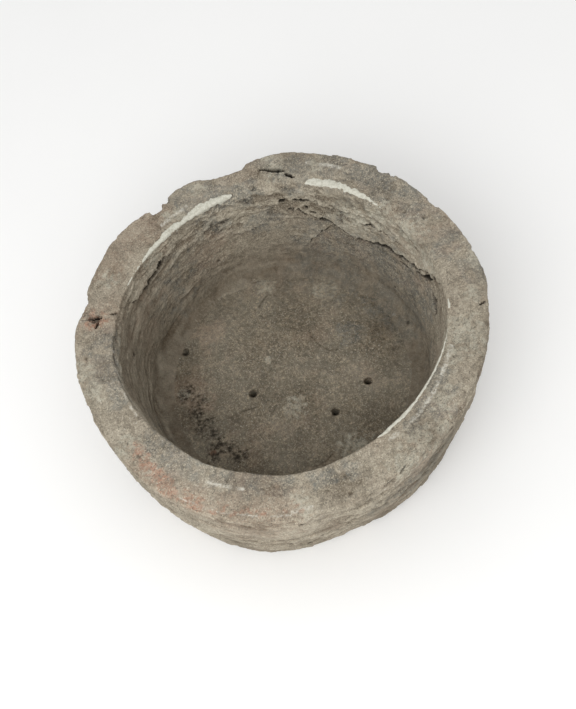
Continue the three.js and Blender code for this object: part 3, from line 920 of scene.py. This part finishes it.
def stains(points, dark, high, floor=False):
    """The masks of every piece: where the clay is stained, pale, limed, smoke-blackened, darker in random
    patches, towards the foot and on the weathered rim, and where shade and light are painted: shade low in
    the bowl, on its left, in the floor's corner and towards its edge, low on the outer wall's front right, in
    cracks, pits and holes, and light and shade over the relief.
    """
    radius = np.hypot(points[:, 0], points[:, 1])
    angle = np.degrees(np.arctan2(points[:, 1], points[:, 0])) % 360.0
    z = points[:, 2]
    on_rim = z > HEIGHT - 9.0
    rust, _ = run_distance(angle, radius, RUST_STREAK, RUST_RADIUS)
    rust = np.where(on_rim, np.exp(-((rust / 8.0) ** 2)), 0.0)
    rust_share = 0.25 + 0.75 * bell(angle, 225.0, 12.0)
    halo = blot(points, [(165, 231, HEIGHT, 11), (165, 219, HEIGHT, 9), (214, 143, FLOOR_TOP, 3.5)])
    inside = radius < inner_radius(angle, np.clip(z, FLOOR_TOP, HEIGHT)) + 6.0
    # painted shade: the inner wall darker low in the bowl, less so on the right, and darker on the left below
    # the rim
    up_wall = smooth(FLOOR_TOP + 3.0, FLOOR_TOP + 72.0, z)
    shaded = 0.75 * bell(angle, 165.0, 55.0) * smooth(HEIGHT - 4.0, HEIGHT - 40.0, z)
    on_wall = np.maximum((1.0 - 0.85 * up_wall) * (1.0 - 0.25 * up_wall * bell(angle, 10.0, 60.0)), shaded)
    # painted shade: the floor darker towards the wall, most towards the back right
    floor_edge_shade = (0.2 + 0.7 * bell(angle, 60.0, 75.0)) * smooth(80.0, 158.0, radius)
    wear_and_shade = floor_edge_shade if floor else on_wall
    # painted shade: a dark ring where the floor meets the wall, darkest at the back right
    corner = 0.95 * np.exp(-(((radius - CORNER_RADIUS) / 8.0) ** 2)) * (0.2 + 0.8 * bell(angle, 62.0, 34.0))
    wear_and_shade = np.maximum(wear_and_shade, corner * (z < FLOOR_TOP + 12.0)) * inside
    outside = radius > outer_radius(angle, np.clip(z, 0.0, HEIGHT)) - 8.0
    # the outer wall: darker in random patches and towards the foot, with painted shade low on its front right
    outer_grime_and_shade = 0.1 + 0.5 * smooth(-0.2, 0.6, fbm(points, 60.0, 3, 541)) + 0.4 * smooth(26.0, 0.0, z)
    outer_grime_and_shade = outer_grime_and_shade + 0.7 * bell(angle, 313.0, 26.0) * smooth(172.0, 130.0, z)
    wear_and_shade = np.maximum(wear_and_shade, outer_grime_and_shade * outside * smooth(HEIGHT - 2.0, HEIGHT - 14.0, z))
    weathered = 0.1 + 0.3 * smooth(-0.3, 0.7, fbm(points, 85.0, 3, 545)) + 0.14 * bell(angle, 125.0, 40.0)
    wear_and_shade = np.maximum(wear_and_shade, clamp(weathered) * on_rim)
    return {
        # dark: painted shade in the cracks, folds, slits, pits, scratches and drain holes
        "dark": clamp(dark),
        # high: the relief's height, which the clay paints lighter on raised spots and darker in low ones
        "high": clamp(0.5 + 0.2 * high),
        "slate": ragged(points, blot(points, SLATE_BLOTS, 1.35), 13.0, 501, 1.5),
        "warm": ragged(points, blot(points, WARM_BLOTS, 1.7), 20.0, 505, 1.0),
        "pale": ragged(points, blot(points, PALE_BLOTS, 1.1), 7.0, 509, 1.9),
        "soot_and_pit_shade": blot(points, SOOT_AND_PIT_SHADE_BLOTS, 1.35),
        "rust": ragged(points, np.maximum(rust * rust_share, halo), 7.0, 517, 1.8),
        "lime": streaks(points, angle, radius),
        "wear_and_shade": wear_and_shade,
        "wiped": wiped_streaks(points, angle, radius),
    }


# ---- materials
def linear(colour):
    """An sRGB colour, 0 to 255, as the linear values that a shader takes."""
    shares = [c / 255.0 for c in colour]
    return tuple(c / 12.92 if c <= 0.04045 else ((c + 0.055) / 1.055) ** 2.4 for c in shares) + (1.0,)


class Nodes:
    """Short calls for the few kinds of shader node that the materials are built from."""

    def __init__(self, name):
        self.material = bpy.data.materials.new(name)
        self.material.use_nodes = True
        self.tree = self.material.node_tree
        self.shader = self.tree.nodes["Principled BSDF"]
        self.place = self.new("TexCoord").outputs["Object"]

    def link(self, source, target):
        self.tree.links.new(source, target)

    def new(self, kind):
        return self.tree.nodes.new("ShaderNode" + kind)

    def feed(self, socket, value):
        """Sets a number or a colour (sRGB from 0 to 255, or linear with an alpha), or links a node."""
        if isinstance(value, tuple) and len(value) == 3:
            socket.default_value = linear(value)
        elif isinstance(value, (tuple, float)):
            socket.default_value = value
        else:
            self.link(value, socket)

    def mask(self, name):
        node = self.new("Attribute")
        node.attribute_name = name
        return node.outputs["Fac"]

    def noise(self, size_mm, detail, shift=0.0):
        node = self.new("TexNoise")
        node.inputs["Scale"].default_value = 1000.0 / size_mm
        node.inputs["Detail"].default_value = detail
        node.inputs["Roughness"].default_value = 0.62
        mapping = self.new("Mapping")
        mapping.inputs["Location"].default_value = (shift, shift * 0.7, shift * 1.3)
        self.link(self.place, mapping.inputs["Vector"])
        self.link(mapping.outputs["Vector"], node.inputs["Vector"])
        return node.outputs["Fac"]

    def grains(self, size_mm):
        """A random tone for each grain of sand."""
        node = self.new("TexVoronoi")
        node.inputs["Scale"].default_value = 1000.0 / size_mm
        self.link(self.place, node.inputs["Vector"])
        return node.outputs["Color"]

    def step(self, value, low, high, to_low=0.0, to_high=1.0):
        node = self.new("MapRange")
        node.interpolation_type = "SMOOTHSTEP"
        for key, setting in zip(("From Min", "From Max", "To Min", "To Max"), (low, high, to_low, to_high)):
            node.inputs[key].default_value = setting
        self.link(value, node.inputs["Value"])
        return node.outputs["Result"]

    def maths(self, kind, a, b):
        node = self.new("Math")
        node.operation = kind
        for socket, value in zip(node.inputs, (a, b, 1.0 - b if isinstance(b, float) else 0.0)):
            self.feed(socket, value)
        return node.outputs["Value"]

    def mix(self, base, other, share, kind="MIX"):
        node = self.new("Mix")
        node.data_type = "RGBA"
        node.blend_type = kind
        for socket, value in ((node.inputs[6], base), (node.inputs[7], other), (node.inputs[0], share)):
            self.feed(socket, value)
        return node.outputs[2]

    def times(self, a, b):
        return self.maths("MULTIPLY", a, b)

    def paint(self, other, share, kind="MIX"):
        """Lays a colour over the base colour in this share."""
        self.colour = self.mix(self.colour, other, share, kind)

    def finish(self):
        self.link(self.colour, self.shader.inputs["Base Color"])
        self.shader.inputs["Specular IOR Level"].default_value = 0.2
        return self.material

    def bump(self, height, strength, distance_mm, below=None):
        node = self.new("Bump")
        node.inputs["Strength"].default_value = strength
        node.inputs["Distance"].default_value = distance_mm / 1000.0
        self.link(height, node.inputs["Height"])
        if below is not None:
            self.link(below, node.inputs["Normal"])
        return node.outputs["Normal"]


def clay(name, light, mid, shade, fleck, shade_and_grime_tint, grain_mm, contrast, sandy):
    """Coarse fired clay: clouds of tone, stains, wiped streaks, chaff, sand, grit, smoke-blackened patches,
    darker random patches and weathering, and painted shade and light: dark in cracks, pits, hollows and
    corners and low in the bowl, light on raised relief.
    """
    n = Nodes(name)
    clouds = n.step(n.noise(38.0, 6.0), 0.36, 0.64)
    n.colour = n.mix(mid, light, clouds)
    n.paint(shade, n.step(n.noise(15.0, 7.0, shift=0.31), 0.5, 0.74, 0.0, 0.75 * contrast))
    broken = n.step(n.noise(4.2, 6.0, shift=0.11), 0.36, 0.6)
    slate = n.times(n.mask("slate"), n.maths("MULTIPLY_ADD", broken, 0.6))
    n.paint((92, 96, 95), slate)
    blush = n.maths("MAXIMUM", n.mask("warm"), n.step(n.noise(48.0, 5.0, shift=0.25), 0.5, 0.66, 0.0, 0.6))
    n.paint((168, 139, 118), n.times(blush, 0.42))
    pale = n.times(n.mask("pale"), n.maths("MULTIPLY_ADD", broken, 0.55))
    n.paint((186, 183, 167), pale)
    n.paint((170, 105, 74), n.times(n.mask("rust"), 0.75))
    streak = n.mask("wiped")
    n.paint(shade, n.step(streak, 0.5, 0.1, 0.0, 0.42))
    n.paint(fleck, n.step(streak, 0.55, 0.95, 0.0, 0.25))
    mottle = n.noise(grain_mm, 6.0, shift=0.77)
    n.paint(shade, n.step(mottle, 0.38, 0.52, 0.5 * contrast, 0.0))
    n.paint(fleck, n.step(mottle, 0.53, 0.68, 0.0, 0.5 * contrast))
    salt = n.step(n.noise(1.5, 3.0, shift=0.15), 0.54, 0.68, 0.0, 0.6)
    n.paint(fleck, salt)
    grit = n.step(n.noise(1.6, 3.0, shift=0.53), 0.32, 0.46, 0.7, 0.0)
    n.paint((58, 51, 42), grit)
    sand = n.grains(1.35)
    bare = n.step(n.mask("wear_and_shade"), 0.3, 0.8, 1.0, 0.35)
    light_sand = n.times(n.step(sand, 0.66, 0.95, 0.0, sandy), bare)
    n.paint((206, 196, 174), light_sand)
    n.paint((52, 46, 38), n.times(n.step(sand, 0.05, 0.36, sandy, 0.0), bare))
    chaff = n.step(n.noise(3.4, 6.0, shift=0.44), 0.55, 0.63)
    chaff = n.times(chaff, n.step(n.noise(31.0, 4.0), 0.44, 0.6))
    n.paint(fleck, n.times(chaff, 0.85 * contrast))
    straws = n.noise(6.5, 3.0, shift=0.37)
    straws = n.maths("SUBTRACT", n.step(straws, 0.47, 0.49), n.step(straws, 0.505, 0.525))
    straws = n.times(straws, n.step(n.noise(9.0, 5.0, shift=0.58), 0.48, 0.62))
    n.paint(fleck, n.times(straws, 0.75 * contrast))
    specks = n.step(n.noise(2.6, 3.0, shift=0.83), 0.63, 0.69)
    specks = n.times(specks, n.step(n.noise(24.0, 3.0), 0.42, 0.6))
    n.paint((212, 206, 192), n.times(specks, 0.8))
    # painted shade low in the bowl, on its left, in the floor's corner and towards its edge, and low on the
    # outer wall's front right; elsewhere darker random patches and weathering
    n.paint(shade_and_grime_tint, n.mask("wear_and_shade"), "MULTIPLY")
    flaked_lime = n.times(n.mask("lime"), n.step(n.noise(2.4, 5.0, shift=0.7), 0.42, 0.56, 0.15, 0.85))
    n.paint((218, 214, 202), flaked_lime)
    # painted highlight on the relief's raised spots and painted shade in its low spots
    relief_highlight_and_shade = n.step(n.mask("high"), 0.15, 0.85, 0.0, 1.0)
    n.paint(n.mix((70, 63, 52), (206, 200, 182), relief_highlight_and_shade), 0.27)
    # smoke-blackened patches, and painted shade in the deep pit high on the right of the inner wall
    speckled_soot_and_pit_shade = n.maths("ADD", n.noise(5.5, 8.0, shift=0.6), n.times(n.mask("soot_and_pit_shade"), 0.25))
    soot_and_pit_shade = n.times(n.step(speckled_soot_and_pit_shade, 0.56, 0.86, 0.0, 0.9), n.step(n.mask("soot_and_pit_shade"), 0.03, 0.4))
    n.paint((36, 31, 25), soot_and_pit_shade)
    # painted shade: near black in the cracks, folds, slits, pits, scratches and drain holes
    n.paint((22, 18, 14), n.times(n.mask("dark"), 0.93))
    n.link(n.step(mottle, 0.3, 0.7, 0.98, 0.86), n.shader.inputs["Roughness"])
    coarse = n.bump(n.noise(4.0, 6.0, shift=0.9), 1.0, 1.9)
    n.link(n.bump(n.noise(1.4, 4.0), 0.75, 0.6, coarse), n.shader.inputs["Normal"])
    return n.finish()


def wall_clay():
    return clay(
        "wall clay", (161, 150, 133), (139, 128, 110), (100, 89, 74), (192, 181, 162),
        (0.45, 0.405, 0.36, 1.0), 7.0, 0.85, 0.7,
    )


def floor_clay():
    return clay(
        "floor clay", (108, 98, 82), (95, 86, 71), (65, 57, 46), (166, 151, 127),
        (0.7, 0.66, 0.62, 1.0), 5.5, 1.15, 0.42,
    )


def lime_mortar():
    n = Nodes("lime mortar")
    crumbs = n.noise(3.2, 5.0)
    n.colour = n.mix((184, 182, 168), (206, 204, 191), n.step(crumbs, 0.35, 0.6))
    n.paint((158, 151, 134), n.step(n.noise(7.0, 5.0, shift=0.4), 0.52, 0.72, 0.0, 0.6))
    n.paint((92, 86, 74), n.step(n.noise(1.6, 3.0, shift=0.2), 0.24, 0.36, 0.6, 0.0))
    n.shader.inputs["Roughness"].default_value = 0.95
    n.link(n.bump(n.noise(1.5, 4.0, shift=0.6), 0.8, 0.6), n.shader.inputs["Normal"])
    return n.finish()


# ---- the assembly
def finish_piece(thing, node, material):
    thing.data.materials.append(material)
    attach(thing, "root")
    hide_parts(node)


def build_vessel():
    wall = wall_clay()
    floor = floor_clay()
    lime = lime_mortar()
    finish_piece(floor_slab(), "floor_slab", floor)
    finish_piece(lower_course(), "lower_wall_course", wall)
    middle = course("middle_wall_course_look", level(LOWER_SEAM), level(MIDDLE_SEAM))
    finish_piece(middle, "middle_wall_course", wall)
    upper = course("upper_wall_course_look", level(MIDDLE_SEAM), upper_seam(ring_angles()))
    finish_piece(upper, "upper_wall_course", wall)
    laps = {
        "rim_coil_back_right": (RIM_LAPS["right"], RIM_LAPS["back"]),
        "rim_coil_back_left": (RIM_LAPS["back"], RIM_LAPS["left"]),
        "rim_coil_front": (RIM_LAPS["left"], RIM_LAPS["right"]),
    }
    for node, (start, end) in laps.items():
        finish_piece(rim_length(node + "_look", start, end), node, wall)
    for node in LIME_FILLS:
        finish_piece(lime_fill(node), node, lime)


# ---- studio
CAMERA_ELEVATION = 59.4
CAMERA_ROLL = -13.0
CAMERA_DISTANCE = 2.63  # in rim diameters, from the middle of the rim
CAMERA_LENS = 55.85
CAMERA_SHIFT = (0.0145, -0.0487)
GROUND_RADIUS = 30.0  # metres, so that its edge stays out of every view
SKY_STRENGTH = 0.8
# Width in metres, power in watts, azimuth, elevation, distance in metres.
KEY_LIGHT = (1.5, 17.0, 240.0, 46.0, 2.0)
FILL_LIGHT = (1.8, 5.0, 280.0, 45.0, 2.2)


def studio_floor():
    bpy.ops.mesh.primitive_circle_add(vertices=128, radius=GROUND_RADIUS, fill_type="NGON")
    ground = bpy.context.object
    ground.name = "studio_floor"
    n = Nodes("studio_floor")
    colour = n.mix((244, 244, 243), (249, 249, 248), n.noise(400.0, 3.0))
    n.link(colour, n.shader.inputs["Base Color"])
    n.shader.inputs["Roughness"].default_value = 0.9
    ground.data.materials.append(n.material)


def soft_light(name, size, power, angle, elevation, distance):
    data = bpy.data.lights.new(name, "AREA")
    data.shape = "DISK"
    data.size = size
    data.energy = power
    lamp = add_to_scene(name, data)
    turn, lift = math.radians(angle), math.radians(elevation)
    away = Vector((math.cos(turn) * math.cos(lift), math.sin(turn) * math.cos(lift), math.sin(lift)))
    lamp.location = away * distance
    lamp.rotation_mode = "QUATERNION"
    lamp.rotation_quaternion = away.to_track_quat("Z", "Y")


def light_studio():
    bpy.context.scene.view_settings.view_transform = "Standard"
    world = bpy.data.worlds.new("studio")
    bpy.context.scene.world = world
    world.use_nodes = True
    sky = world.node_tree.nodes["Background"]
    sky.inputs["Color"].default_value = (1.0, 1.0, 1.0, 1.0)
    sky.inputs["Strength"].default_value = SKY_STRENGTH
    soft_light("key", *KEY_LIGHT)
    soft_light("fill", *FILL_LIGHT)


def set_camera():
    data = bpy.data.cameras.new("camera")
    camera = add_to_scene("camera", data)
    data.lens = CAMERA_LENS
    data.shift_x, data.shift_y = CAMERA_SHIFT
    lift, roll = math.radians(CAMERA_ELEVATION), math.radians(CAMERA_ROLL)
    towards = Vector((0.0, -math.cos(lift), math.sin(lift)))
    right = Vector((1.0, 0.0, 0.0))
    up = Vector((0.0, math.sin(lift), math.cos(lift)))
    side = math.cos(roll) * right + math.sin(roll) * up
    over = math.cos(roll) * up - math.sin(roll) * right
    camera.matrix_world = Matrix((side, over, towards)).transposed().to_4x4()
    distance = CAMERA_DISTANCE * RIM_RADIUS * 2.0 / 1000.0
    camera.location = Vector((0.0, 0.0, HEIGHT / 1000.0)) + towards * distance
    bpy.context.scene.camera = camera


build_vessel()
studio_floor()
light_studio()
set_camera()
